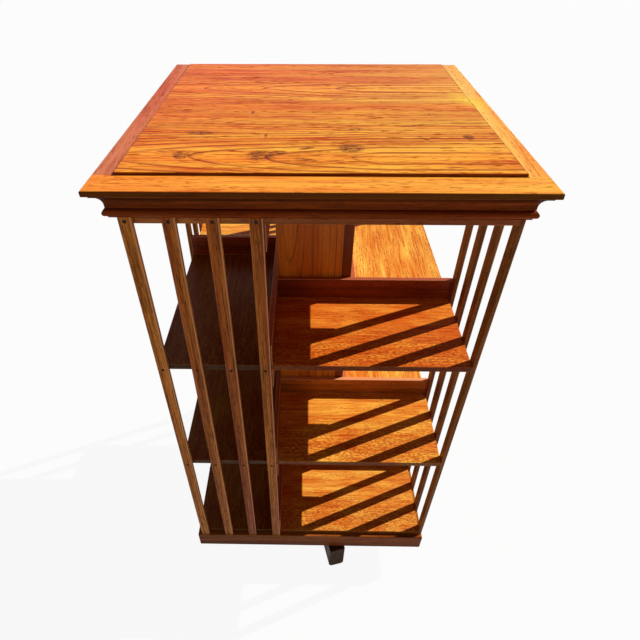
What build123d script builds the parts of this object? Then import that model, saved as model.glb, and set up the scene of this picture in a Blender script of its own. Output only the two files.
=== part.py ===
from build123d import *
from math import cos, radians, sin
import os

# A revolving bookcase in three tiers: an open square case, closed by slats, that turns on a post.
# The post stands in a cross-shaped base on four feet. Sizes are in millimetres.
# Origin on the floor, on the turning axis. +X is to the right, +Y to the back, +Z up.

# Cross base and post
foot_turn = 14.0               # degrees between the base's arms and the case's sides, at rest
arm_projection = 9.3           # how far an arm's end stands out past the plinth
arm_width = 40.0
arm_height = 50.0
arm_top_round = 2.5
arm_end_round = 3.0
foot_height = 37.0
foot_length = 70.0
foot_round = 9.0               # on a foot's long lower edges
post_diameter = 50.0
tenon_diameter = 30.0
flange_diameter = 120.0
flange_thickness = 5.0
collar_diameter = 68.0
collar_height = 16.0
pin_diameter = 16.0
pin_depth = 60.0               # length of the pivot pin driven into the post
pin_tip_round = 6.0
running_clearance = 0.05       # radial, between a turning piece and its bearing
pivot_gap = 0.3                # above the pivot pin's tip
base_gap = 4.0                 # between the arms and the turning plinth

# Case
case_width = 550.0             # across the shelf edges
shelf_thickness = 12.0
lower_tier_height = 295.0      # clear heights between the shelves
middle_tier_height = 282.0
upper_tier_height = 281.0
carcass_top_thickness = 15.0
edge_round = 1.0
plinth_height = 52.0
plinth_thickness = 20.0
plinth_ledge = 1.0             # how far the plinth stands out past the slats
plinth_round = 1.5
glue_block_leg = 35.0
glue_block_height = 40.0
bearing_rail_width = 170.0
bearing_rail_thickness = 20.0
guide_ring_diameter = 80.0
pivot_plate_side = 84.0
pivot_plate_thickness = 5.0
pivot_boss_diameter = 34.0
pivot_boss_height = 20.0
pivot_roof = 2.0               # metal left above the pivot pin's hole
post_end_gap = 7.0             # between the post's top and the boss

# Box column and the rails beside it
column_width = 147.0
column_board = 20.0
stop_thickness = 9.5
stop_height = 46.0
batten_height = 46.0

# Slats
slat_count = 4                 # on each side of the case
slat_width = 19.0
slat_thickness = 8.0
slat_end_gap = 2.5             # between the last slat and the line of the column's side
slat_chamfer = 1.5

# Cornice, read from its foot up
cornice_depth = 48.0           # from the lip's face to the back of the moulding
cornice_foot = 2.0             # how far the foot stands out past the slats
cornice_foot_height = 2.5
bead_radius = 5.5
quirk_height = 1.5
quirk_step = 1.0
cove_straight = 4.0
cove_radius = 17.0
cove_sweep = 75.0              # degrees
lip_height = 3.6

# Top
top_overhang = 6.4             # past the cornice lip
border_thickness = 9.0
front_border_width = 48.0
side_border_width = 30.0
panel_front_rise = 4.0         # panel above the borders, where its front edge has lifted
panel_back_rise = 1.0
border_edge_round = 2.0
panel_edge_round = 1.0

# Screws: head diameter, head height, shank diameter, shank length, slot width and slot depth
slat_screw = (6.0, 1.6, 3.2, 24.0, 0.9, 0.8)
plate_screw = (8.0, 3.0, 4.2, 12.0, 1.2, 1.2)
flange_screw = (8.0, 3.0, 4.2, 28.0, 1.2, 1.2)
slat_screw_recess = 1.0        # head below the slat's face
slot_turn = 37.0               # degrees from one screw's slot to the next
plate_screw_offset = 30.0
flange_screw_radius = 47.0

SIDES = ("front", "right", "back", "left")

# Levels, from the floor up
arm_top = foot_height + arm_height
plinth_bottom = arm_top + base_gap
plinth_top = plinth_bottom + plinth_height
lower_shelf_top = plinth_top + shelf_thickness
middle_shelf_bottom = lower_shelf_top + lower_tier_height
middle_shelf_top = middle_shelf_bottom + shelf_thickness
upper_shelf_bottom = middle_shelf_top + middle_tier_height
upper_shelf_top = upper_shelf_bottom + shelf_thickness
carcass_top_bottom = upper_shelf_top + upper_tier_height
slat_top = carcass_top_bottom + carcass_top_thickness
shelves = {
    "lower": (plinth_top, lower_shelf_top),
    "middle": (middle_shelf_bottom, middle_shelf_top),
    "upper": (upper_shelf_bottom, upper_shelf_top),
    "carcass_top": (carcass_top_bottom, slat_top),
}
tiers = {
    "lower": (lower_shelf_top, middle_shelf_bottom),
    "middle": (middle_shelf_top, upper_shelf_bottom),
    "upper": (upper_shelf_top, carcass_top_bottom),
}
screw_levels = [(bottom + top) / 2 for bottom, top in shelves.values()]

# Levels of the cornice's members
foot_top = slat_top + cornice_foot_height
bead_top = foot_top + 2 * bead_radius
quirk_top = bead_top + quirk_height
cove_start = quirk_top + cove_straight
cove_end = cove_start + cove_radius * sin(radians(cove_sweep))
cornice_top = cove_end + lip_height

# Levels of the pivot, from the carcass top down
plate_bottom = carcass_top_bottom - pivot_plate_thickness
boss_bottom = plate_bottom - pivot_boss_height
pin_hole_top = carcass_top_bottom - pivot_roof
pin_tip = pin_hole_top - pivot_gap
post_top = boss_bottom - post_end_gap

# Distances out from the axis
half_case = case_width / 2
slat_face = half_case + slat_thickness
plinth_face = slat_face + plinth_ledge
plinth_inner = plinth_face - plinth_thickness
arm_reach = plinth_face / cos(radians(foot_turn)) + arm_projection
half_column = column_width / 2
stop_face = half_column + stop_thickness
bead_back = slat_face + cornice_foot
cove_foot = bead_back + quirk_step
lip_face = cove_foot + cove_radius * (1 - cos(radians(cove_sweep)))
half_top = lip_face + top_overhang
slat_span = half_case - half_column - slat_end_gap - slat_width
slat_pitch = slat_span / (slat_count - 1)
slat_offsets = [slat_width / 2 - half_case + slat_pitch * number for number in range(slat_count)]


def block(low, high):
    """A box between two opposite corners."""
    size = [end - start for start, end in zip(low, high)]
    return Pos(*low) * Box(*size, align=(Align.MIN, Align.MIN, Align.MIN))


def rod(diameter, bottom, top):
    """An upright cylinder on the axis."""
    height = top - bottom
    return Pos(0, 0, bottom) * Cylinder(diameter / 2, height, align=(Align.CENTER, Align.CENTER, Align.MIN))


def prism(corners, bottom, top):
    """An upright prism on a plan given by its corners."""
    plan = make_face(Polyline(*corners, close=True))
    return extrude(Pos(0, 0, bottom) * plan, top - bottom)


def edges_of(piece, face_axis, last, direction=None):
    """The edges of a piece's first or last face on an axis, all of them or those along a direction."""
    edges = piece.faces().sort_by(face_axis)[-1 if last else 0].edges()
    return edges.filter_by(direction) if direction else edges


def quarter_turn(piece, number):
    """A front piece carried round to another side."""
    return Rot(0, 0, 90 * number) * piece


def all_round(piece):
    """The same piece on all four sides."""
    return [quarter_turn(piece, number) for number in range(len(SIDES))]


def write(name, shape):
    """The STEP file of one node: a solid, or a list of separate solids."""
    if isinstance(shape, list):
        shape = Compound(children=[solid for piece in shape for solid in piece.solids()])
    export_step(shape, f"parts/{name}.step")


def screw_hole(screw, recess=0):
    """The counterbore and shank hole of a screw, along +Z from the surface at the origin."""
    head_diameter, head_height, shank_diameter, shank_length = screw[:4]
    seat = recess + head_height
    return rod(head_diameter, 0, seat) + rod(shank_diameter, seat, seat + shank_length)


def slotted_screw(screw, number, recess=0):
    """A screw that fills its hole up to the head, with its slot turned by its number in the row."""
    head_diameter, head_height, shank_diameter, shank_length, slot_width, slot_depth = screw
    seat = recess + head_height
    body = rod(head_diameter, recess, seat) + rod(shank_diameter, seat, seat + shank_length)
    slot = Pos(0, 0, recess) * Box(head_diameter, slot_width, 2 * slot_depth)
    return body - Rot(0, 0, slot_turn * number) * slot


def slat_screw_places(offsets, levels):
    """Where the front's slats are screwed to the shelf edges, looking into the face."""
    into_face = Rot(-90, 0, 0)
    return [Pos(offset, -slat_face, level) * into_face for offset in offsets for level in levels]


def plate_screw_places():
    """The pivot plate's screws, up into the carcass top."""
    offsets = (-plate_screw_offset, plate_screw_offset)
    return [Pos(x, y, plate_bottom) for x in offsets for y in offsets]


def flange_screw_places():
    """The flange's screws, one down into each arm, before the base is turned."""
    down = Pos(flange_screw_radius, 0, arm_top + flange_thickness) * Rot(180, 0, 0)
    return [Rot(0, 0, 90 * number) * down for number in range(4)]


def base_arm(notch_bottom, notch_top, turn):
    """One arm of the cross, end to end, notched at the middle for the other arm."""
    arm = block((-arm_reach, -arm_width / 2, foot_height), (arm_reach, arm_width / 2, arm_top))
    arm = fillet(arm.edges().filter_by(Axis.Z), arm_end_round)
    arm = fillet(edges_of(arm, Axis.Z, last=True), arm_top_round)
    notch = block((-arm_width / 2, -arm_width, notch_bottom), (arm_width / 2, arm_width, notch_top))
    arm = Rot(0, 0, turn) * (arm - notch)
    holes = [place * screw_hole(flange_screw) for place in flange_screw_places()]
    return arm - [rod(tenon_diameter, foot_height, arm_top)] - holes


def base_foot():
    """A foot under the right-hand end of an arm, rounded along its lower edges."""
    foot = block((arm_reach - foot_length, -arm_width / 2, 0), (arm_reach, arm_width / 2, foot_height))
    foot = fillet(edges_of(foot, Axis.Z, last=False, direction=Axis.X), foot_round)
    return fillet(edges_of(foot, Axis.X, last=True, direction=Axis.Z), arm_end_round)


def build_base():
    """The two arms and four feet, which stand turned against the case."""
    on_floor = Rot(0, 0, foot_turn)
    lap = foot_height + arm_height / 2
    write("base_arm_lower", on_floor * base_arm(lap, arm_top, 0))
    write("base_arm_upper", on_floor * base_arm(foot_height, lap, 90))
    for number, side in enumerate(("right", "back", "left", "front")):
        write(f"foot_{side}", on_floor * quarter_turn(base_foot(), number))


def build_post():
    """The post tenoned through the cross, its screwed flange and the pivot pin in its top."""
    post = rod(tenon_diameter, foot_height, arm_top) + rod(post_diameter, arm_top, post_top)
    write("centre_post", post - rod(pin_diameter, post_top - pin_depth, post_top))
    pin = rod(pin_diameter, post_top - pin_depth, pin_tip)
    write("pivot_pin", fillet(edges_of(pin, Axis.Z, last=True), pin_tip_round))

    on_floor = Rot(0, 0, foot_turn)
    collar_bottom = arm_top + flange_thickness
    collar_top = collar_bottom + collar_height
    flange = rod(flange_diameter, arm_top, collar_bottom) + rod(collar_diameter, collar_bottom, collar_top)
    holes = [place * screw_hole(flange_screw) for place in flange_screw_places()]
    write("post_flange", on_floor * (flange - [rod(post_diameter, arm_top, collar_top)] - holes))
    write("flange_screws", [on_floor * place * slotted_screw(flange_screw, number)
                            for number, place in enumerate(flange_screw_places())])


def build_plinth():
    """Four mitred plinth boards with glue blocks, and the rail that holds the column and the guide ring."""
    plan = [(-plinth_face, -plinth_face), (plinth_face, -plinth_face),
            (plinth_inner, -plinth_inner), (-plinth_inner, -plinth_inner)]
    board = prism(plan, plinth_bottom, plinth_top)
    board = fillet(edges_of(board, Axis.Y, last=False, direction=Axis.X), plinth_round)
    for number, side in enumerate(SIDES):
        write(f"plinth_{side}", quarter_turn(board, number))

    block_end = glue_block_leg - plinth_inner
    corner = [(-plinth_inner, -plinth_inner), (block_end, -plinth_inner), (-plinth_inner, block_end)]
    write("plinth_glue_blocks", all_round(prism(corner, plinth_top - glue_block_height, plinth_top)))

    rail_bottom = plinth_top - bearing_rail_thickness
    rail = block((-plinth_inner, -bearing_rail_width / 2, rail_bottom),
                 (plinth_inner, bearing_rail_width / 2, plinth_top))
    write("bearing_rail", rail - rod(guide_ring_diameter, rail_bottom, plinth_top))
    ring = rod(guide_ring_diameter, rail_bottom, lower_shelf_top)
    write("guide_ring", ring - rod(post_diameter + 2 * running_clearance, rail_bottom, lower_shelf_top))


def slat_pilot_holes(bottom, top):
    """The pilot holes of the front's slat screws in the edge of a board."""
    places = slat_screw_places(slat_offsets, [(bottom + top) / 2])
    return [place * screw_hole(slat_screw, slat_screw_recess) for place in places]


def build_shelves():
    """The three shelves, each four boards set like a pinwheel round the column."""
    for name in ("lower", "middle", "upper"):
        bottom, top = shelves[name]
        board = block((-half_column, -half_case, bottom), (half_case, -half_column, top))
        outer_edges = edges_of(board, Axis.Y, last=False, direction=Axis.X)
        outer_edges = outer_edges + edges_of(board, Axis.X, last=True, direction=Axis.Y)
        holes = [quarter_turn(hole, 1) for hole in slat_pilot_holes(bottom, top)]
        write(f"shelf_{name}", all_round(fillet(outer_edges, edge_round) - holes))


def build_carcass_top():
    """The board that hangs the case on the pivot, with the pivot plate screwed under it."""
    bottom, top = shelves["carcass_top"]
    carcass_top = block((-half_case, -half_case, bottom), (half_case, half_case, top))
    rims = edges_of(carcass_top, Axis.Z, last=False) + edges_of(carcass_top, Axis.Z, last=True)
    carcass_top = fillet(rims, edge_round)
    for hole in slat_pilot_holes(bottom, top):
        carcass_top = carcass_top - all_round(hole)
    half_plate = pivot_plate_side / 2
    plate = block((-half_plate, -half_plate, plate_bottom), (half_plate, half_plate, carcass_top_bottom))
    plate = plate + rod(pivot_boss_diameter, boss_bottom, plate_bottom)
    plate = plate - rod(pin_diameter + 2 * running_clearance, boss_bottom, pin_hole_top)
    holes = [place * screw_hole(plate_screw) for place in plate_screw_places()]
    write("carcass_top", carcass_top - holes)
    write("pivot_plate", plate - holes)
    write("pivot_plate_screws", [place * slotted_screw(plate_screw, number)
                                 for number, place in enumerate(plate_screw_places())])


def build_column():
    """The box column, four boards set like a pinwheel, from the bearing rail up to the carcass top."""
    board = block((-half_column, -half_column, plinth_top),
                  (half_column - column_board, column_board - half_column, carcass_top_bottom))
    for number, side in enumerate(SIDES):
        write(f"column_{side}", quarter_turn(board, number))


def build_inner_rails():
    """In each tier, the stops on the shelf and the battens under the next one."""
    for name, (bottom, top) in tiers.items():
        stop = block((-half_column, -stop_face, bottom), (half_case, -half_column, bottom + stop_height))
        stop = fillet(edges_of(stop, Axis.Z, last=True, direction=Axis.X), edge_round)
        write(f"book_stops_{name}", all_round(stop))

        batten = block((-half_column, -stop_face, top - batten_height), (half_case, -half_column, top))
        batten = fillet(edges_of(batten, Axis.Z, last=False, direction=Axis.X), edge_round)
        write(f"battens_{name}", all_round(batten))


def build_slats():
    """The slats, from the plinth's ledge up to the cornice, and the screws that hold them."""
    for index, offset in enumerate(slat_offsets):
        slat = block((offset - slat_width / 2, -slat_face, plinth_top),
                     (offset + slat_width / 2, -half_case, slat_top))
        slat = chamfer(edges_of(slat, Axis.Y, last=False, direction=Axis.Z), slat_chamfer)
        for place in slat_screw_places([offset], screw_levels):
            slat = slat - place * screw_hole(slat_screw, slat_screw_recess)
        for number, side in enumerate(SIDES):
            write(f"slat_{side}_{index + 1}", quarter_turn(slat, number))

    screws = []
    for number in range(len(SIDES)):
        for place in slat_screw_places(slat_offsets, screw_levels):
            screw = slotted_screw(slat_screw, len(screws), slat_screw_recess)
            screws.append(quarter_turn(place * screw, number))
    write("slat_screws", screws)


def build_cornice():
    """Four mitred mouldings that lie on the carcass top and cover the slats' ends."""
    back = cornice_depth - lip_face
    middle = radians(cove_sweep / 2)
    cove_middle = (-cove_foot - cove_radius * (1 - cos(middle)), cove_start + cove_radius * sin(middle))
    foot = Polyline((back, slat_top), (-bead_back, slat_top), (-bead_back, foot_top))
    bead = ThreePointArc((-bead_back, foot_top), (-bead_back - bead_radius, foot_top + bead_radius),
                         (-bead_back, bead_top))
    quirk = Polyline((-bead_back, bead_top), (-bead_back, quirk_top), (-cove_foot, quirk_top),
                     (-cove_foot, cove_start))
    cove = ThreePointArc((-cove_foot, cove_start), cove_middle, (-lip_face, cove_end))
    lip = Polyline((-lip_face, cove_end), (-lip_face, cornice_top), (back, cornice_top), (back, slat_top))
    section = Plane.YZ * make_face(foot + bead + quirk + cove + lip)
    mitre = prism([(0, 0), (-half_top, -half_top), (half_top, -half_top)], slat_top, cornice_top)
    moulding = extrude(section, half_top, both=True) & mitre
    for number, side in enumerate(SIDES):
        write(f"cornice_{side}", quarter_turn(moulding, number))


def build_top():
    """The raised top panel with its front and side borders, all lying on the cornice."""
    border_top = cornice_top + border_thickness
    border_back = front_border_width - half_top
    panel_side = half_top - side_border_width

    front = block((-half_top, -half_top, cornice_top), (half_top, border_back, border_top))
    rounded = edges_of(front, Axis.Y, last=False, direction=Axis.X)
    for last in (False, True):
        rounded = rounded + edges_of(front, Axis.X, last, direction=Axis.Y)
    write("top_border_front", fillet(rounded, border_edge_round))

    side = block((panel_side, border_back, cornice_top), (half_top, half_top, border_top))
    rounded = edges_of(side, Axis.X, last=True, direction=Axis.Y)
    rounded = rounded + edges_of(side, Axis.Y, last=True, direction=Axis.X)
    side = fillet(rounded, border_edge_round)
    write("top_border_right", side)
    write("top_border_left", mirror(side, about=Plane.YZ))

    section = Polyline((border_back, cornice_top), (half_top, cornice_top),
                       (half_top, border_top + panel_back_rise),
                       (border_back, border_top + panel_front_rise), close=True)
    panel = extrude(Plane.YZ * make_face(section), panel_side, both=True)
    write("top_panel", fillet(edges_of(panel, Axis.Z, last=True), panel_edge_round))


os.makedirs("parts", exist_ok=True)
build_base()
build_post()
build_plinth()
build_shelves()
build_carcass_top()
build_column()
build_inner_rails()
build_slats()
build_cornice()
build_top()
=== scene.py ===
from math import cos, radians, sin
from random import Random

import bmesh
import bpy
from mathutils import Euler, Matrix, Vector


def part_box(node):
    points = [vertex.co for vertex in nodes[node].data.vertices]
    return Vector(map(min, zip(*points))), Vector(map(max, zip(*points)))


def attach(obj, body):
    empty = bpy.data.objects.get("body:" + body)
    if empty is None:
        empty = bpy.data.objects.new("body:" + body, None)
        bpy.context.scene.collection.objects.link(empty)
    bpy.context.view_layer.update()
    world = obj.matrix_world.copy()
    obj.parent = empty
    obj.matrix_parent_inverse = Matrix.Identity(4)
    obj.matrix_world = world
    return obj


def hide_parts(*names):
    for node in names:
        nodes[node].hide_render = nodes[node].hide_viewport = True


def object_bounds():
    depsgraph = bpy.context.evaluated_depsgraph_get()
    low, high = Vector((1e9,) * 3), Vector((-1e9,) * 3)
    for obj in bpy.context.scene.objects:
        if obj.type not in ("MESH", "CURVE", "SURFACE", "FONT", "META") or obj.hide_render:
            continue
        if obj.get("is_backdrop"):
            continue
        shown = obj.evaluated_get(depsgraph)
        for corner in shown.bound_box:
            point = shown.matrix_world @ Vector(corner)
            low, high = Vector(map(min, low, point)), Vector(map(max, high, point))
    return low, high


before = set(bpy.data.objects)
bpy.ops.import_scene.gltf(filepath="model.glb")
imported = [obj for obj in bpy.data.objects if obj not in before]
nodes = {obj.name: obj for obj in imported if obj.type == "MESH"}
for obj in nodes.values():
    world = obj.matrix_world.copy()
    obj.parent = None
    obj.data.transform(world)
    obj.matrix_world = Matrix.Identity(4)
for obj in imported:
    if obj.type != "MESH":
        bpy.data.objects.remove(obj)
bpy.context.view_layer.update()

# Cross base: two arms, half-lapped into a cross, and the foot glued under each arm's end.
# Oak, stained almost black-brown and waxed, so the grain shows only as a slight change of
# depth. The base stands turned against the case, and its grain follows each arm.
MM = 0.001
base_turn = 14.0       # degrees
base_stain = {"light": "#5A3B25", "dark": "#33200F", "pores": "#1B110A", "gloss": 0.03}

# How oak is drawn. Sizes are in mm, and a pair of them is along and across the grain.
fibre_bends = (420.0, 130.0)
line_gaps = (160.0, 24.0)
pore_rows = (200.0, 9.0)
pore_depth = 0.2
pore_dullness = 0.25
streak_dullness = 0.06
fibre_relief = 0.25
oak_relief = 0.35
oak_ior = 1.5
rings_alike = 5        # rings over which their width changes
heart_slant = 0.05     # of the heart to a board's face, so that rings close into arches
line_thinning = 1.2    # the nearer to 1, the thinner a line where its ring meets the face squarely

# Settings of the sums, and of the two ways to lay a colour on: over the wood, or into it.
TIMES = {"operation": "MULTIPLY"}
TIMES_PLUS = {"operation": "MULTIPLY_ADD"}
PLUS = {"operation": "ADD"}
LESS = {"operation": "SUBTRACT"}
OVER = {"operation": "DIVIDE"}
GREATER = {"operation": "MAXIMUM"}
SIZE = {"operation": "ABSOLUTE"}
COAT = {"data_type": "RGBA", "blend_type": "MIX", "clamp_factor": True}
STAIN = {"data_type": "RGBA", "blend_type": "MULTIPLY", "clamp_factor": True}


def linear(hex_colour):
    """An sRGB hex colour as the linear colour that a shader takes."""
    channels = [int(hex_colour[start:start + 2], 16) / 255 for start in (1, 3, 5)]
    return [c / 12.92 if c <= 0.04045 else ((c + 0.055) / 1.055) ** 2.4 for c in channels] + [1.0]


def add(tree, kind, settings=None, inputs=None):
    """Adds one node. An input is a value, an output, or a node, which feeds it by its output in use."""
    made = tree.nodes.new(kind)
    for name, value in (settings or {}).items():
        setattr(made, name, value)
    for name, value in (inputs or {}).items():
        if isinstance(value, bpy.types.Node):
            value = next(output for output in value.outputs if output.enabled)
        if isinstance(value, bpy.types.NodeSocket):
            tree.links.new(value, made.inputs[name])
        else:
            made.inputs[name].default_value = value
    return made


def empty_material(name):
    """A node material with nothing in it yet, and its tree."""
    material = bpy.data.materials.new(name)
    material.use_nodes = True
    material.node_tree.nodes.clear()
    return material, material.node_tree


def stretched(tree, vector, along, across):
    """The grain's vector, measured in lengths along it and widths across it, both in mm."""
    scale = (1 / (along * MM), 1 / (across * MM), 1 / (across * MM))
    return add(tree, "ShaderNodeVectorMath", TIMES, {0: vector, 1: scale})


def clouds(tree, vector, along, across, detail=2.0, low=0.35, high=0.65, finer=0.5):
    """Noise drawn out along the grain, from 0 to 1."""
    noise = add(tree, "ShaderNodeTexNoise", None,
                {"Vector": stretched(tree, vector, along, across), "Scale": 1.0, "Detail": detail,
                 "Roughness": finer})
    return add(tree, "ShaderNodeMapRange", None, {"Value": noise, "From Min": low, "From Max": high})


def ring_lines(tree, wandered, ring, uneven, late_wood):
    """The dark line that ends each year's growth, wider where the rings meet a face at a slant."""
    across = add(tree, "ShaderNodeVectorMath", TIMES, {0: wandered, 1: (0.0, 1.0, 1.0)})
    radius = add(tree, "ShaderNodeVectorMath", {"operation": "LENGTH"}, {0: across})
    place = add(tree, "ShaderNodeMath", OVER, {0: radius, 1: rings_alike * ring * MM})
    years = add(tree, "ShaderNodeTexNoise", {"noise_dimensions": "1D"},
                {"W": place, "Scale": 1.0, "Detail": 1.0})
    even = add(tree, "ShaderNodeMath", OVER, {0: radius, 1: ring * MM})
    gained = add(tree, "ShaderNodeMath", TIMES, {0: years, 1: uneven})
    count = add(tree, "ShaderNodeMath", PLUS, {0: even, 1: gained})
    grown = add(tree, "ShaderNodeMath", {"operation": "FRACT"}, {0: count})
    left = add(tree, "ShaderNodeMath", LESS, {0: 1.0, 1: grown})

    aside = add(tree, "ShaderNodeSeparateXYZ", None, {0: across}).outputs["Y"]
    slant = add(tree, "ShaderNodeMath", OVER, {0: aside, 1: radius})
    slant = add(tree, "ShaderNodeMath", TIMES_PLUS, {0: slant, 1: slant, 2: heart_slant ** 2})
    slant = add(tree, "ShaderNodeMath", {"operation": "SQRT"}, {0: slant})
    distance = add(tree, "ShaderNodeMath", TIMES, {0: left, 1: ring * MM})
    distance = add(tree, "ShaderNodeMath", OVER, {0: distance, 1: slant})
    spread = add(tree, "ShaderNodeMath", LESS, {0: line_thinning, 1: slant})
    distance = add(tree, "ShaderNodeMath", OVER, {0: distance, 1: spread})
    return add(tree, "ShaderNodeMapRange", None,
               {"Value": distance, "From Min": late_wood * MM, "From Max": 0.0})


def wood(name, grain, light, dark, pores, ring=5.0, uneven=3.0, wander=24.0, late_wood=2.5,
         lines=0.3, streak=(380.0, 14.0), streaks=0.6, fibre=(70.0, 1.6), fibres=0.3,
         fibre_edge=(0.42, 0.66), pore=(16.0, 1.6), pore_share=0.5, tone=(500.0, 70.0),
         tint="#D9803A", tint_share=0.6, marks=None, roughness=0.36, gloss=0.15):
    """Sawn oak: growth rings round the tree's heart, streaks, fibres, pores and slow changes of tone.

    grain gives the vector in which the fibres run along X and the heart lies on the X axis.
    ring is a year's growth, uneven how many rings it drifts by, wander how far the fibres
    bend and late_wood the width of a ring's dark line, where it leaves the face at a slant.
    lines, streaks, fibres, pore_share and tint_share say how much of each shows. Real pores
    and fibres are 0.1 to 0.3 mm wide, too fine for the render, so none is drawn narrower
    than 1.6 mm. marks may add what one board alone has.
    """
    material, tree = empty_material(name)
    vector = grain(tree)
    bends = add(tree, "ShaderNodeTexNoise", None,
                {"Vector": stretched(tree, vector, *fibre_bends), "Scale": 1.0, "Detail": 2.0})
    wandered = add(tree, "ShaderNodeVectorMath", TIMES_PLUS,
                   {0: bends.outputs["Color"], 1: (0.0, wander * MM, wander * MM), 2: vector})
    late = ring_lines(tree, wandered, ring, uneven, late_wood)
    late = add(tree, "ShaderNodeMath", TIMES,
               {0: late, 1: clouds(tree, vector, *line_gaps, low=0.2, high=0.5)})

    fine = clouds(tree, wandered, *fibre, detail=4.0, low=fibre_edge[0], high=fibre_edge[1], finer=0.65)
    broad = clouds(tree, wandered, *streak, detail=3.0, low=0.38, high=0.64, finer=0.6)
    share = add(tree, "ShaderNodeMath", TIMES, {0: fine, 1: fibres})
    share = add(tree, "ShaderNodeMath", TIMES_PLUS, {0: broad, 1: streaks, 2: share})
    colour = add(tree, "ShaderNodeMix", COAT, {0: share, 6: linear(light), 7: linear(dark)})
    share = add(tree, "ShaderNodeMath", TIMES, {0: clouds(tree, vector, *tone), 1: tint_share})
    colour = add(tree, "ShaderNodeMix", STAIN, {0: share, 6: colour, 7: linear(tint)})
    share = add(tree, "ShaderNodeMath", TIMES, {0: late, 1: lines})
    colour = add(tree, "ShaderNodeMix", COAT, {0: share, 6: colour, 7: linear(pores)})

    open_pores = clouds(tree, wandered, *pore, detail=1.0, low=0.55, high=0.63)
    open_pores = add(tree, "ShaderNodeMath", TIMES,
                     {0: open_pores, 1: clouds(tree, wandered, *pore_rows, low=0.38, high=0.56)})
    share = add(tree, "ShaderNodeMath", TIMES, {0: open_pores, 1: pore_share})
    colour = add(tree, "ShaderNodeMix", COAT, {0: share, 6: colour, 7: linear(pores)})
    if marks:
        colour = marks(tree, colour)

    height = add(tree, "ShaderNodeMath", TIMES, {0: fine, 1: fibre_relief})
    height = add(tree, "ShaderNodeMath", LESS, {0: height, 1: open_pores})
    bump = add(tree, "ShaderNodeBump", None,
               {"Strength": oak_relief, "Distance": pore_depth * MM, "Height": height})
    dull = add(tree, "ShaderNodeMath", TIMES_PLUS, {0: open_pores, 1: pore_dullness, 2: roughness})
    dull = add(tree, "ShaderNodeMath", TIMES_PLUS, {0: broad, 1: streak_dullness, 2: dull})
    shader = add(tree, "ShaderNodeBsdfPrincipled", None,
                 {"Base Color": colour, "Roughness": dull, "Normal": bump, "IOR": oak_ior,
                  "Specular IOR Level": gloss})
    add(tree, "ShaderNodeOutputMaterial", None, {"Surface": shader})
    return material


# How a board's own axes are turned onto the grain, by the direction that its fibres run in.
TURNS = {"x": (0.0, 0.0, 0.0), "y": (0.0, 0.0, -90.0), "z": (90.0, 0.0, 90.0)}


def turning(turn):
    """The matrix of a turn about X, then Y, then Z."""
    return Euler([radians(angle) for angle in turn]).to_matrix()


def cut_from(node, turn, heart, lean=0.0):
    """The grain of a CAD board, whose tree's heart passes that many mm off its middle.

    The heart differs from board to board, so that no two show the same figure.
    """
    low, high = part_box(node)
    middle = turning(turn) @ ((low + high) / 2)

    def grain(tree):
        place = add(tree, "ShaderNodeTexCoord").outputs["Object"]
        board = add(tree, "ShaderNodeMapping", None,
                    {"Vector": place, "Rotation": [radians(angle) for angle in turn],
                     "Location": -middle})
        return add(tree, "ShaderNodeMapping", None,
                   {"Vector": board, "Rotation": (0.0, radians(lean), 0.0),
                    "Location": Vector(heart) * MM})
    return grain


def finish_node(node, material):
    """Gives a CAD node its material."""
    nodes[node].data.materials.clear()
    nodes[node].data.materials.append(material)


for number, name in enumerate(("base_arm_lower", "base_arm_upper")):
    turn = (0.0, 0.0, -base_turn - 90.0 * number)
    grain = cut_from(name, turn, (300, 25, 60 + 20 * number))
    finish_node(name, wood(f"stained_oak_{name}", grain, roughness=0.42, **base_stain))
for number, side in enumerate(("right", "back", "left", "front")):
    turn = (0.0, 0.0, -base_turn - 90.0 * number)
    grain = cut_from(f"foot_{side}", turn, (90 * number, 15, 45 + 9 * number))
    finish_node(f"foot_{side}", wood(f"stained_oak_foot_{side}", grain, roughness=0.45, **base_stain))

# Post and pivot: a turned beech post tenoned through the cross, held by a cast iron flange
# that was painted black, with bright steel screws and pivot pin. Up under the carcass top
# the pin runs in a brass plate. Only slits of this show between the plinth and the base.

# Bare beech is pale and dull, with faint rings and few pores. The black paint is dull and
# even, while turned steel and brass shine, softened by the tool's fine marks.
beech = {"light": "#C9A374", "dark": "#A87B4C", "pores": "#7E5732", "ring": 3.0, "pore_share": 0.25,
         "lines": 0.15, "streaks": 0.3, "roughness": 0.5}
tarnish_patch = 9.0
tarnish_share = 0.35
tarnish_dullness = 0.18
tool_mark = 1.2        # real ones are finer, and wouldn't show
tool_mark_depth = 0.1
tool_mark_relief = 0.3


def metal(name, colour, roughness, metallic=1.0, worn="#8A8178"):
    """A worked metal: fine tool marks, and tarnish in patches that are duller and off in colour."""
    material, tree = empty_material(name)
    place = add(tree, "ShaderNodeTexCoord").outputs["Object"]
    patches = clouds(tree, place, tarnish_patch, tarnish_patch, detail=3.0)
    share = add(tree, "ShaderNodeMath", TIMES, {0: patches, 1: tarnish_share})
    tarnished = add(tree, "ShaderNodeMix", COAT, {0: share, 6: linear(colour), 7: linear(worn)})
    dull = add(tree, "ShaderNodeMath", TIMES_PLUS, {0: patches, 1: tarnish_dullness, 2: roughness})
    bump = add(tree, "ShaderNodeBump", None,
               {"Strength": tool_mark_relief, "Distance": tool_mark_depth * MM,
                "Height": clouds(tree, place, tool_mark, tool_mark)})
    shader = add(tree, "ShaderNodeBsdfPrincipled", None,
                 {"Base Color": tarnished, "Roughness": dull, "Normal": bump, "Metallic": metallic})
    add(tree, "ShaderNodeOutputMaterial", None, {"Surface": shader})
    return material


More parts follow.
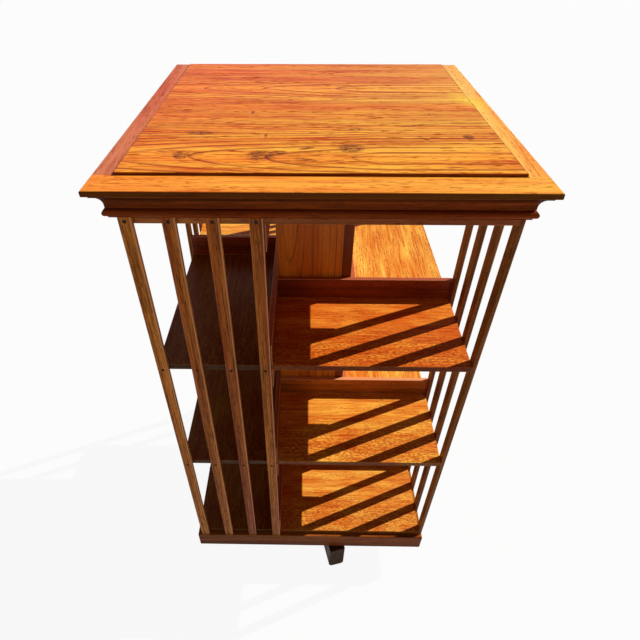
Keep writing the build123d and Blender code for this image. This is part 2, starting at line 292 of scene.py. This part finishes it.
finish_node("centre_post",
            wood("turned_beech_post", cut_from("centre_post", TURNS["z"], (0, 12, 18)), **beech))
finish_node("post_flange",
            metal("black_painted_cast_iron", "#1E1C1B", 0.5, metallic=0.0, worn="#3A3633"))
bright_steel = metal("turned_bright_steel", "#A9A7A2", 0.28)
for name in ("pivot_pin", "flange_screws", "pivot_plate_screws"):
    finish_node(name, bright_steel)
finish_node("pivot_plate", metal("turned_brass", "#C79A4B", 0.3, worn="#8F6B33"))

# Plinth: four mitred oak boards under the bottom shelf, a little proud of the slats, with
# bare beech glue blocks in the corners and a beech rail and ring that guide the post.
# The boards are French polished like the case, with the grain along each side.
SIDES = ("front", "right", "back", "left")

# Stain and polish leave the oak dark and low in shine, with its streaks still clear. Part of
# that darkness is painted shade.
case_pores = "#30170A"
case_finish = {"light": "#A24C14", "dark": "#562406", "pores": case_pores, "roughness": 0.34,
               "gloss": 0.03}
plinth_finish = dict(case_finish, light="#AE6020", dark="#58300C")
for number, side in enumerate(SIDES):
    heart = (137 * number, 20 - 13 * number, 70 + 9 * number)
    grain = cut_from(f"plinth_{side}", TURNS["xy"[number % 2]], heart, lean=1.2)
    finish_node(f"plinth_{side}", wood(f"polished_oak_plinth_{side}", grain, **plinth_finish))
for name, node, along, heart in (("bare_beech_blocks", "plinth_glue_blocks", "z", (0, 60, 20)),
                                 ("bare_beech_rail", "bearing_rail", "x", (0, 10, 55)),
                                 ("turned_beech_ring", "guide_ring", "z", (0, 30, 50))):
    finish_node(node, wood(name, cut_from(node, TURNS[along], heart), **beech))

# Shelves: each is four oak boards set like a pinwheel round the column, so the grain runs
# along the face of every compartment and its end shows on the next face. French polished
# a shade redder than the top. Each board has eased arrises and its own cut of the tree.
TIERS = ("lower", "middle", "upper")
EDGE, END, UNDERSIDE = 1.0, 2.0, 3.0
half_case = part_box("shelf_upper")[1].x
half_column = -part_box("column_front")[0].y
draw = Random(11)      # the boards of all pieces draw from it in turn
log_reach = 900        # mm each way along the tree, in which boards are cut
flat_face = 0.99       # how square to an axis the normal of a flat face is
edge_face = 1.01       # times the thickness, above which a side is an edge and not a face
flat_to_arris = (0.97, 0.90)      # how square a normal is on a face, and on an eased arris
turned_to_highlight = (0.80, 0.95)     # how far an arris faces the painted highlight's way, from none to full

# Polished shelves are worn dull at their ends, and in flecks along the front, which begin
# that many mm behind the front edge and soon cover the board. Their long edges and
# undersides are darkened with painted shade.
shelf_arris = 0.8
shelf_hearts = (45, (50, 110))
shelf_flecked = "#A03A0A"
shelf_fleck = (7.0, 3.4)
shelf_fleck_share = 0.65
shelf_flecks_begin = 130.0
shelf_flecks_full = 50.0
side_colour_share = 0.75
# arrises are lightened both as wear and as a painted highlight
arris_wear_and_highlight_share = 0.7
# The tone of each tier's front, right, back and left board, as a stain over the wood. The
# left boards' dark tone is painted shade.
shelf_tones = {"upper": ("#F0C4A8", "#FFFFFF", "#FFFFFF", "#94846C"),
               "middle": ("#FFF8E8", "#FFFCF4", "#F8ECE0", "#98886E"),
               "lower": ("#F8ECE4", "#F8E8DC", "#F8ECE4", "#98886E")}


def lay_board(stock, low, high, number, turn, arris, heart, tone):
    """Adds a board with eased arrises to a bmesh, and writes its grain, sides and tone on it."""
    low, high = Vector(low), Vector(high)
    middle, size = (low + high) / 2, high - low
    cube = bmesh.ops.create_cube(stock, size=1.0, matrix=Matrix.LocRotScale(middle, None, size))
    edges = list({edge for corner in cube["verts"] for edge in corner.link_edges})
    made = bmesh.ops.bevel(stock, geom=edges, offset=arris * MM, segments=2, profile=0.5,
                           affect="EDGES", material=-1, clamp_overlap=True)
    turned = turning(turn) @ Matrix.Rotation(radians(-90.0 * number), 3, "Z")
    grain = stock.verts.layers.float_vector["grain"]
    for corner in made["verts"]:
        corner[grain] = turned @ (corner.co - middle) + Vector(heart) * MM

    stock.normal_update()
    side = stock.faces.layers.float["side"]
    own_tone = stock.faces.layers.float_vector["tone"]
    size = turned @ size
    thickness = min(abs(length) for length in size)
    for face in {face for corner in made["verts"] for face in corner.link_faces}:
        facing = turned @ face.normal
        long_side = max(abs(facing.y), abs(facing.z)) > flat_face
        if abs(facing.x) > flat_face:
            face[side] = END
        elif long_side and abs(facing.dot(size)) > edge_face * thickness:
            face[side] = EDGE
        elif face.normal.z < -flat_face:
            face[side] = UNDERSIDE
        face[own_tone] = linear(tone)[:3]


def pinwheel(name, low, high, along, arris, material, replaced, hearts, tones):
    """Four boards round the axis as one piece: the front one, and three turned after it.

    hearts says how far aside of a board and how deep under it its tree's heart may run.
    """
    stock = bmesh.new()
    stock.verts.layers.float_vector.new("grain")
    stock.faces.layers.float.new("side")
    stock.faces.layers.float_vector.new("tone")
    across, through = hearts
    (x0, y0, z0), (x1, y1, z1) = low, high
    for number, tone in enumerate(tones):
        heart = (draw.uniform(-log_reach, log_reach), draw.uniform(-across, across),
                 draw.uniform(*through))
        lay_board(stock, (x0, y0, z0), (x1, y1, z1), number, TURNS[along], arris, heart, tone)
        (x0, x1), (y0, y1) = (-y1, -y0), (x0, x1)
    mesh = bpy.data.meshes.new(name)
    stock.to_mesh(mesh)
    stock.free()
    piece = bpy.data.objects.new(name, mesh)
    bpy.context.scene.collection.objects.link(piece)
    mesh.materials.append(material)
    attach(piece, "case")
    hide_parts(*replaced)


def own_grain(tree):
    """The grain that each board of a piece carries with it."""
    return add(tree, "ShaderNodeAttribute", {"attribute_name": "grain"}).outputs["Vector"]


def arris_mask(tree, toward=None):
    """1 on the eased arrises, or only on those that face one way, and 0 on the faces."""
    facing = add(tree, "ShaderNodeTexCoord").outputs["Normal"]
    if toward:
        none, full = turned_to_highlight
        most = add(tree, "ShaderNodeVectorMath", {"operation": "DOT_PRODUCT"}, {0: facing, 1: toward})
    else:
        none, full = flat_to_arris
        sizes = add(tree, "ShaderNodeVectorMath", SIZE, {0: facing})
        axes = add(tree, "ShaderNodeSeparateXYZ", None, {0: sizes}).outputs
        most = add(tree, "ShaderNodeMath", GREATER, {0: axes["X"], 1: axes["Y"]})
        most = add(tree, "ShaderNodeMath", GREATER, {0: most, 1: axes["Z"]})
    return add(tree, "ShaderNodeMapRange", None, {"Value": most, "From Min": none, "From Max": full})


def board_marks(worn, arris):
    """What each board has of its own: its tone, colours on its edges, ends and undersides,
    some of them painted shade and light, and arrises lightened by wear and a painted highlight.
    """
    def marks(tree, colour):
        side = add(tree, "ShaderNodeAttribute", {"attribute_name": "side"}).outputs["Fac"]
        for kind, side_colour in worn.items():
            share = add(tree, "ShaderNodeMath", {"operation": "COMPARE"}, {0: side, 1: kind})
            share = add(tree, "ShaderNodeMath", TIMES, {0: share, 1: side_colour_share})
            colour = add(tree, "ShaderNodeMix", COAT, {0: share, 6: colour, 7: linear(side_colour)})
        own_tone = add(tree, "ShaderNodeAttribute", {"attribute_name": "tone"}).outputs["Color"]
        colour = add(tree, "ShaderNodeMix", STAIN, {0: 1.0, 6: colour, 7: own_tone})
        share = add(tree, "ShaderNodeMath", TIMES, {0: arris_mask(tree), 1: arris_wear_and_highlight_share})
        return add(tree, "ShaderNodeMix", COAT, {0: share, 6: colour, 7: linear(arris)})
    return marks


def position(tree):
    """Where a point of the bookcase lies at rest, as X, Y and Z."""
    place = add(tree, "ShaderNodeTexCoord").outputs["Object"]
    return add(tree, "ShaderNodeSeparateXYZ", None, {0: place}).outputs


# Painted shade on the shelves' long edges and undersides, greyer end grain at their ends, and arrises
# lightened by wear and a painted highlight.
shelf_shade_ends_and_arrises = board_marks({EDGE: "#5A2A0C", END: "#5E4836", UNDERSIDE: "#7A4018"}, "#B06C30")


def shelf_marks(tree, colour):
    """Towards the front the polish of a shelf is worn through in flecks, under its other marks."""
    outer = add(tree, "ShaderNodeMapRange", None,
                {"Value": position(tree)["Y"], "From Min": shelf_flecks_begin * MM - half_case,
                 "From Max": shelf_flecks_full * MM - half_case})
    flecks = clouds(tree, own_grain(tree), *shelf_fleck, low=0.46, high=0.57, finer=0.65)
    share = add(tree, "ShaderNodeMath", TIMES, {0: outer, 1: flecks})
    share = add(tree, "ShaderNodeMath", TIMES, {0: share, 1: shelf_fleck_share})
    colour = add(tree, "ShaderNodeMix", COAT, {0: share, 6: colour, 7: linear(shelf_flecked)})
    return shelf_shade_ends_and_arrises(tree, colour)


shelf_oak = wood("polished_oak_shelves", own_grain, "#FFC452", "#D46C14", "#86400E",
                 streak=(260.0, 12.0), streaks=0.4, fibre=(60.0, 2.6), fibres=0.65,
                 fibre_edge=(0.48, 0.61), pore=(9.0, 2.0), pore_share=0.6, tone=(90.0, 30.0),
                 tint="#DC7C2C", roughness=0.33, gloss=0.08, marks=shelf_marks)
for tier in TIERS:
    low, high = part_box(f"shelf_{tier}")
    pinwheel(f"shelf_boards_{tier}", (-half_column, -half_case, low.z),
             (half_case, -half_column, high.z), "x", shelf_arris, shelf_oak,
             [f"shelf_{tier}"], shelf_hearts, shelf_tones[tier])

# Box column: four oak boards, nailed edge to face like a pinwheel, from the bearing rail
# to the carcass top. The grain is upright, with tall pointed figure on the faces.
column_arris = 0.8
column_hearts = (25, (35, 60))
column_tones = ("#FFF8F0", "#F7D9C6", "#FBE9DE", "#F5CFB8")
column_low, column_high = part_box("column_front")
# Painted shade on the column boards' edges and ends.
column_oak = wood("polished_oak_column", own_grain, "#F4982A", "#A85814", "#4A2208", ring=9.0,
                  late_wood=10.0, lines=0.5, streaks=0.35, fibres=0.25, pore_share=0.2,
                  tint="#D89048", roughness=0.36,
                  marks=board_marks({EDGE: "#5A2E10", END: "#5A2E10"}, "#C98A50"))
pinwheel("column_boards", column_low, column_high, "z", column_arris, column_oak,
         [f"column_{side}" for side in SIDES], column_hearts, column_tones)

# Book stops and battens: the same thin rails, above each shelf as stops and below the next
# one as battens. Oak from a redder, darker board, polished, grain along the rail.
rail_arris = 1.0
rail_hearts = (30, (60, 140))
rail_thickness = 9.5
rail_back = half_column + rail_thickness * MM
rail_tones = {"upper": ("#C08E8E", "#C6A2A9", "#BE8784", "#C29599"),
              "middle": ("#FFFFFF", "#D8B4A4", "#C69E98", "#C8A090"),
              "lower": ("#D0AC9C", "#C08E8E", "#C6A2A9", "#BE8784")}
# Painted light on the rails' top and bottom edges; their arrises are lightened by wear and a painted
# highlight.
rail_oak = wood("polished_oak_rails", own_grain, "#DC8430", "#8A4814", "#461C08", roughness=0.34,
                marks=board_marks({EDGE: "#F0A070", END: "#8E5A3C"}, "#FFB878"))
for tier in TIERS:
    for kind in ("book_stops", "battens"):
        low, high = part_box(f"{kind}_{tier}")
        pinwheel(f"{kind}_rails_{tier}", (-half_column, -rail_back, low.z),
                 (half_case, -half_column, high.z), "x", rail_arris, rail_oak,
                 [f"{kind}_{tier}"], rail_hearts, rail_tones[tier])

# Carcass top: one square oak board whose edge shows as a plain rail below the cornice.
# It is polished like the rails, and paler than the mouldings above it.
carcass_grain = cut_from("carcass_top", TURNS["x"], (60, 90, 60), lean=1.0)
finish_node("carcass_top", wood("polished_oak_carcass_top", carcass_grain, "#CC7C2E", "#84481A",
                                case_pores, roughness=0.36))

# Slats: sixteen straight-grained oak strips, four to a side, planed with bevelled front
# arrises and polished thinly, so the pores stay open. Each is held by four screws with
# slotted heads, sunk below the face and darkened by age to a dull brown.
slats_to_a_side = 4
# The right side's slats are darker than the others: painted shade.
slat_colours_and_shade = {"front": ("#FFA23E", "#8A4810"), "right": ("#B06A28", "#6A3A10"),
              "back": ("#C87C30", "#7A4412"), "left": ("#D88A38", "#8A4E16")}
# The right-hand front arris of each slat, seen from outside, gets a painted highlight.
slat_highlight = "#FFC498"
slat_highlight_share = 0.5
for number, (side, (slat_light, slat_dark)) in enumerate(slat_colours_and_shade.items()):
    highlit_arris = Matrix.Rotation(radians(90.0 * number), 3, "Z") @ Vector((1.0, -1.0, 0.0)).normalized()

    def slat_painted_highlight(tree, colour, highlit_arris=tuple(highlit_arris)):
        """A painted highlight on the slat's right-hand front arris, seen from outside."""
        share = add(tree, "ShaderNodeMath", TIMES, {0: arris_mask(tree, highlit_arris), 1: slat_highlight_share})
        return add(tree, "ShaderNodeMix", COAT, {0: share, 6: colour, 7: linear(slat_highlight)})

    slat_grain = cut_from(f"slat_{side}_1", TURNS["z"], (70 * number, 90, 160))
    slat_oak = wood(f"thinly_polished_oak_slats_{side}", slat_grain, slat_light, slat_dark, "#44220A",
                    ring=4.0, wander=10.0, streak=(260.0, 5.0), streaks=0.5, fibre=(50.0, 1.8),
                    fibres=0.55, fibre_edge=(0.42, 0.62), pore=(14.0, 1.8), pore_share=0.55,
                    tone=(2000.0, 45.0), tint="#B47438", tint_share=0.9, roughness=0.4, gloss=0.1,
                    marks=slat_painted_highlight)
    for place in range(1, slats_to_a_side + 1):
        finish_node(f"slat_{side}_{place}", slat_oak)
finish_node("slat_screws",
            metal("darkened_steel_screws", "#231B16", 0.45, metallic=0.6, worn="#4A3B30"))

# Cornice: four mitred oak mouldings, worked with bead, quirk and cove, grain along each
# side, polished to the same brown as the plinth. Painted shade darkens the lip and upper
# cove under the top, deeper than the solids' own shade there.
cornice_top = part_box("cornice_front")[1].z
cornice_painted_shade = "#160802"
cornice_painted_shade_share = 0.6
cornice_painted_shade_begins = 13.5     # mm down from the upper face
cornice_painted_shade_full = 11.5


def cove_painted_shade(tree, colour):
    """Painted shade on the lip and upper cove, under the top's overhang."""
    band = add(tree, "ShaderNodeMapRange", None,
               {"Value": position(tree)["Z"], "From Min": cornice_top - cornice_painted_shade_begins * MM,
                "From Max": cornice_top - cornice_painted_shade_full * MM})
    share = add(tree, "ShaderNodeMath", TIMES, {0: band, 1: cornice_painted_shade_share})
    return add(tree, "ShaderNodeMix", COAT, {0: share, 6: colour, 7: linear(cornice_painted_shade)})


for number, side in enumerate(SIDES):
    heart = (211 * number, 33 - 21 * number, 80 + 11 * number)
    grain = cut_from(f"cornice_{side}", TURNS["xy"[number % 2]], heart, lean=0.8)
    finish_node(f"cornice_{side}", wood(f"polished_oak_cornice_{side}", grain, marks=cove_painted_shade,
                                        **case_finish))

# Top: a raised panel of two flat-sawn oak boards, the front one with pointed arches and
# small knots at their tips, between a wide front border and two narrow side borders. It is
# filled and French polished. Its joints with the side borders are dark, and painted shade
# darkens the step's front face, the border just in front of it, and the outer edge.
top_pores = "#882800"
half_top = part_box("top_border_front")[1].x
panel_low, panel_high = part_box("top_panel")
panel_surface = Vector((0.0, 0.0, panel_high.z))
panel_joint = 27.0
panel_rise = 21.0      # mm along the front board, in which its heart rises 1 mm
panel_level = 90.0     # and where it stops rising
front_heart = Vector((52.6, 203.0, 110.5)) * MM - panel_surface
back_heart = Vector((452.6, -126.0, 83.7)) * MM - panel_surface

# Knots, cracks and hatching, each as x, y, half its length, half its width and its turn.
top_knots = "#642404"
top_marks = ((-195, -199, 14, 17, 0), (-83, -199, 23, 22, 0), (-59, -190, 16, 9, 10),
             (-17, -172, 14, 6, 20), (-19, -214, 20, 6, -12), (-182, -113, 24, 9, 0),
             (-80, -124, 3, 12, 0), (-109, -16, 3, 10, 0), (47, -171, 22, 21, 0), (60, -95, 18, 6, 5),
             (154, -77, 30, 4, 12), (160, -133, 16, 4, -50), (228, -127, 10, 13, 0),
             (188, -21, 3, 8, 0))
mark_core = 0.65
mark_share = 0.12              # and what the scratches add to it
scratch_share = 0.8
scratch = (18.0, 6.0)
scratch_side = 0.15            # of the noise, either way from its middle
scratch_core = 0.05
curl_patch = (276, 52, 64, 36, -55)
curl_core = 0.1
curl_colour = "#FFD23C"
curl_share = 0.7
curl_speck = (5.0, 4.0)
curl_speck_share = 0.6

# The polish has aged redder from the right front to the left back, by x less y.
aged = "#FCA062"
aged_share = 0.75
aged_from = 250.0
aged_to = -450.0

# A dark line round the panel: dark joints at its sides, painted shade on its step's face and the border
# in front.
step_shade_and_joint = "#74360E"
step_shade_and_joint_share = 0.85
step_shade_and_joint_inward = 1.0         # mm, from the panel's sides
step_shade_and_joint_begins = (-0.6, -0.2)    # mm past the panel, from none to full
step_shade_and_joint_ends = (3.2, 1.8)
# Painted shade along the top's outer edge.
top_edge_painted_shade = "#502208"
top_edge_painted_shade_share = 0.9
top_edge_painted_shade_begins = 1.2        # mm in from the outer edge
top_edge_painted_shade_full = 0.3


def patch(tree, place, x, y, half_length, half_width, turn, core):
    """1 in the core of an ellipse on the top, falling to 0 at its edge."""
    inside = add(tree, "ShaderNodeMapping", {"vector_type": "TEXTURE"},
                 {"Vector": place, "Location": (x * MM, y * MM, panel_high.z),
                  "Rotation": (0.0, 0.0, radians(turn)),
                  "Scale": (half_length * MM, half_width * MM, 1.0)})
    far = add(tree, "ShaderNodeVectorMath", {"operation": "LENGTH"}, {0: inside})
    return add(tree, "ShaderNodeMapRange", None, {"Value": far, "From Min": 1.0, "From Max": core})


def curly_patch(tree, colour):
    """The pale, speckled patch of curly grain at the right."""
    place = add(tree, "ShaderNodeTexCoord").outputs["Object"]
    curl = patch(tree, place, *curl_patch, core=curl_core)
    share = add(tree, "ShaderNodeMath", TIMES, {0: curl, 1: curl_share})
    colour = add(tree, "ShaderNodeMix", COAT, {0: share, 6: colour, 7: linear(curl_colour)})
    share = add(tree, "ShaderNodeMath", TIMES, {0: curl, 1: curl_speck_share})
    share = add(tree, "ShaderNodeMath", TIMES,
                {0: clouds(tree, place, *curl_speck, detail=1.0, low=0.56, high=0.64), 1: share})
    return add(tree, "ShaderNodeMix", COAT, {0: share, 6: colour, 7: linear(top_pores)})


def knots_and_cracks(tree, colour):
    """Dark marks, each filled with scratchy lines over a faint stain."""
    place = add(tree, "ShaderNodeTexCoord").outputs["Object"]
    marked = 0.0
    for mark in top_marks:
        marked = add(tree, "ShaderNodeMath", GREATER,
                     {0: patch(tree, place, *mark, core=mark_core), 1: marked})
    off_line = add(tree, "ShaderNodeMath", LESS,
                   {0: clouds(tree, place, *scratch, detail=4.0, low=0.25, high=0.75, finer=0.75),
                    1: 0.5})
    off_line = add(tree, "ShaderNodeMath", SIZE, {0: off_line})
    lines = add(tree, "ShaderNodeMapRange", None,
                {"Value": off_line, "From Min": scratch_side, "From Max": scratch_core})
    share = add(tree, "ShaderNodeMath", TIMES_PLUS, {0: lines, 1: scratch_share, 2: mark_share})
    share = add(tree, "ShaderNodeMath", TIMES, {0: marked, 1: share})
    return add(tree, "ShaderNodeMix", COAT, {0: share, 6: colour, 7: linear(top_knots)})


def top_figure(tree, colour):
    """The top's curly patch, knots, cracks and age, dark side joints, and painted shade at step and
    edge.
    """
    colour = knots_and_cracks(tree, curly_patch(tree, colour))
    axes = position(tree)
    across_top = add(tree, "ShaderNodeMath", LESS, {0: axes["X"], 1: axes["Y"]})
    share = add(tree, "ShaderNodeMapRange", None,
                {"Value": across_top, "From Min": aged_from * MM, "From Max": aged_to * MM})
    share = add(tree, "ShaderNodeMath", TIMES, {0: share, 1: aged_share})
    colour = add(tree, "ShaderNodeMix", STAIN, {0: share, 6: colour, 7: linear(aged)})

    # Dark joints beside the panel, and painted shade on the step and the border in front of it.
    beside = add(tree, "ShaderNodeMath", SIZE, {0: axes["X"]})
    past_side = add(tree, "ShaderNodeMath", LESS, {0: beside, 1: panel_high.x - step_shade_and_joint_inward * MM})
    past_front = add(tree, "ShaderNodeMath", LESS, {0: panel_low.y, 1: axes["Y"]})
    past = add(tree, "ShaderNodeMath", GREATER, {0: past_side, 1: past_front})
    begins, ends = (add(tree, "ShaderNodeMapRange", None,
                        {"Value": past, "From Min": none * MM, "From Max": full * MM})
                    for none, full in (step_shade_and_joint_begins, step_shade_and_joint_ends))
    share = add(tree, "ShaderNodeMath", TIMES, {0: begins, 1: ends})
    share = add(tree, "ShaderNodeMath", TIMES, {0: share, 1: step_shade_and_joint_share})
    colour = add(tree, "ShaderNodeMix", COAT, {0: share, 6: colour, 7: linear(step_shade_and_joint)})

    # Painted shade on the outer edge.
    along = add(tree, "ShaderNodeMath", SIZE, {0: axes["Y"]})
    out = add(tree, "ShaderNodeMath", GREATER, {0: beside, 1: along})
    share = add(tree, "ShaderNodeMapRange", None,
                {"Value": out, "From Min": half_top - top_edge_painted_shade_begins * MM,
                 "From Max": half_top - top_edge_painted_shade_full * MM})
    share = add(tree, "ShaderNodeMath", TIMES, {0: share, 1: top_edge_painted_shade_share})
    return add(tree, "ShaderNodeMix", COAT, {0: share, 6: colour, 7: linear(top_edge_painted_shade)})


def panel_grain(tree):
    """The front board's heart runs 110 mm under the face and rises to the right, so that each
    ring comes out as an arch, up to where it levels. The back board is from elsewhere in the tree."""
    axes = position(tree)
    rise = add(tree, "ShaderNodeMath", {"operation": "MINIMUM"}, {0: axes["X"], 1: panel_level * MM})
    rise = add(tree, "ShaderNodeMath", OVER, {0: rise, 1: panel_rise})
    depth = add(tree, "ShaderNodeMath", LESS, {0: axes["Z"], 1: rise})
    board = add(tree, "ShaderNodeCombineXYZ", None, {"X": axes["X"], "Y": axes["Y"], "Z": depth})
    behind = add(tree, "ShaderNodeMath", {"operation": "GREATER_THAN"},
                 {0: axes["Y"], 1: panel_joint * MM})
    heart = add(tree, "ShaderNodeMix", {"data_type": "VECTOR"},
                {0: behind, 4: front_heart, 5: back_heart})
    return add(tree, "ShaderNodeVectorMath", PLUS, {0: board, 1: heart})


# The top is the smoothest wood of the bookcase: its pores are filled, and show only as dark specks.
top_finish = {"pores": top_pores, "tone": (600.0, 50.0), "tint": "#FC9040", "tint_share": 0.5,
              "marks": top_figure, "roughness": 0.26, "gloss": 0.02}
top_panel = wood("french_polished_oak_panel", panel_grain, "#FFC242", "#C24600", ring=5.4,
                 uneven=0.4, wander=8.0, late_wood=8.0, lines=1.0, streak=(500.0, 20.0), streaks=0.5,
                 fibre=(220.0, 4.0), fibres=0.5, fibre_edge=(0.49, 0.62), pore=(20.0, 3.0),
                 pore_share=0.75, **top_finish)
finish_node("top_panel", top_panel)
# The left border is oak like the others, tinted pink by a painted reflection.
borders = {"front": ("x", (400, 90, 60), "#FFBE48", "#D87430"),
           "right": ("y", (150, -60, 80), "#FFD264", "#E6963C"),
           "left": ("y", (-350, 40, 90), "#DCA078", "#A85C42")}
for side, (along, heart, light, dark) in borders.items():
    node = f"top_border_{side}"
    border = wood(f"french_polished_oak_border_{side}", cut_from(node, TURNS[along], heart, lean=1.0),
                  light, dark, streak=(700.0, 16.0), streaks=0.35, fibre=(90.0, 3.0), fibres=0.55,
                  fibre_edge=(0.46, 0.62), pore=(14.0, 2.6), pore_share=0.5, wander=10.0, **top_finish)
    finish_node(node, border)

# Studio: a pale floor under one distant lamp, high on the right and a little behind, in
# white surroundings. Seen directly the floor is lightened towards white and keeps the shadow.
floor_size = 60.0
floor_glow = 0.93
surround_light = 0.11
lamp_strength = 4.8
lamp_softness = 0.4    # degrees, as the next two
lamp_azimuth = 23.5
lamp_height = 42.5
white = (1.0, 1.0, 1.0, 1.0)


def background_rays(tree):
    """1 where the background shows: straight to the camera, in a reflection or through glass."""
    rays = add(tree, "ShaderNodeLightPath").outputs
    shown = add(tree, "ShaderNodeMath", GREATER, {0: rays["Is Camera Ray"], 1: rays["Is Glossy Ray"]})
    return add(tree, "ShaderNodeMath", GREATER, {0: shown, 1: rays["Is Transmission Ray"]})


plane = bmesh.new()
bmesh.ops.create_grid(plane, x_segments=1, y_segments=1, size=floor_size / 2)
floor_mesh = bpy.data.meshes.new("floor")
plane.to_mesh(floor_mesh)
plane.free()
floor = bpy.data.objects.new("floor", floor_mesh)
bpy.context.scene.collection.objects.link(floor)
floor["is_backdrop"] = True
floor_material, tree = empty_material("pale_matt_floor")
matt = add(tree, "ShaderNodeBsdfPrincipled", None,
           {"Base Color": linear("#C2C0BD"), "Roughness": 0.9, "Specular IOR Level": 0.1})
glow = add(tree, "ShaderNodeEmission", None, {"Color": white, "Strength": 1.0})
share = add(tree, "ShaderNodeMath", TIMES, {0: background_rays(tree), 1: floor_glow})
lightened = add(tree, "ShaderNodeMixShader", None, {0: share, 1: matt, 2: glow})
add(tree, "ShaderNodeOutputMaterial", None, {"Surface": lightened})
floor_mesh.materials.append(floor_material)

world = bpy.data.worlds.new("white_surroundings")
bpy.context.scene.world = world
world.use_nodes = True
tree = world.node_tree
tree.nodes.clear()
strength = add(tree, "ShaderNodeMapRange", None,
               {"Value": background_rays(tree), "To Min": surround_light, "To Max": 1.0})
sky = add(tree, "ShaderNodeBackground", None, {"Color": white, "Strength": strength})
add(tree, "ShaderNodeOutputWorld", None, {"Surface": sky})

azimuth, height = radians(lamp_azimuth), radians(lamp_height)
towards_lamp = Vector((cos(azimuth) * cos(height), sin(azimuth) * cos(height), sin(height)))
lamp_data = bpy.data.lights.new("key_lamp", "SUN")
lamp_data.energy = lamp_strength
lamp_data.angle = radians(lamp_softness)
lamp = bpy.data.objects.new("key_lamp", lamp_data)
lamp.rotation_mode = "QUATERNION"
lamp.rotation_quaternion = towards_lamp.to_track_quat("Z", "Y")
bpy.context.scene.collection.objects.link(lamp)

# Camera: held at standing height in front of the bookcase and pointed well down, as the
# photograph was taken. Its place and angles come from the corners of the case.
camera_place = (-0.0178, -0.8743, 1.3847)
camera_down = 40.35
camera_left = 1.05
camera_roll = -0.17
camera_data = bpy.data.cameras.new("camera")
camera_data.lens = 27.78
camera_data.sensor_width = 36.0
camera_data.shift_x = 0.0344
camera_data.shift_y = -0.0098
camera = bpy.data.objects.new("camera", camera_data)
camera.matrix_world = (Matrix.Translation(camera_place) @ Matrix.Rotation(radians(camera_left), 4, "Z")
                       @ Matrix.Rotation(radians(90.0 - camera_down), 4, "X")
                       @ Matrix.Rotation(radians(camera_roll), 4, "Z"))
bpy.context.scene.collection.objects.link(camera)
bpy.context.scene.camera = camera
bpy.context.scene.view_settings.view_transform = "Standard"

low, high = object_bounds()
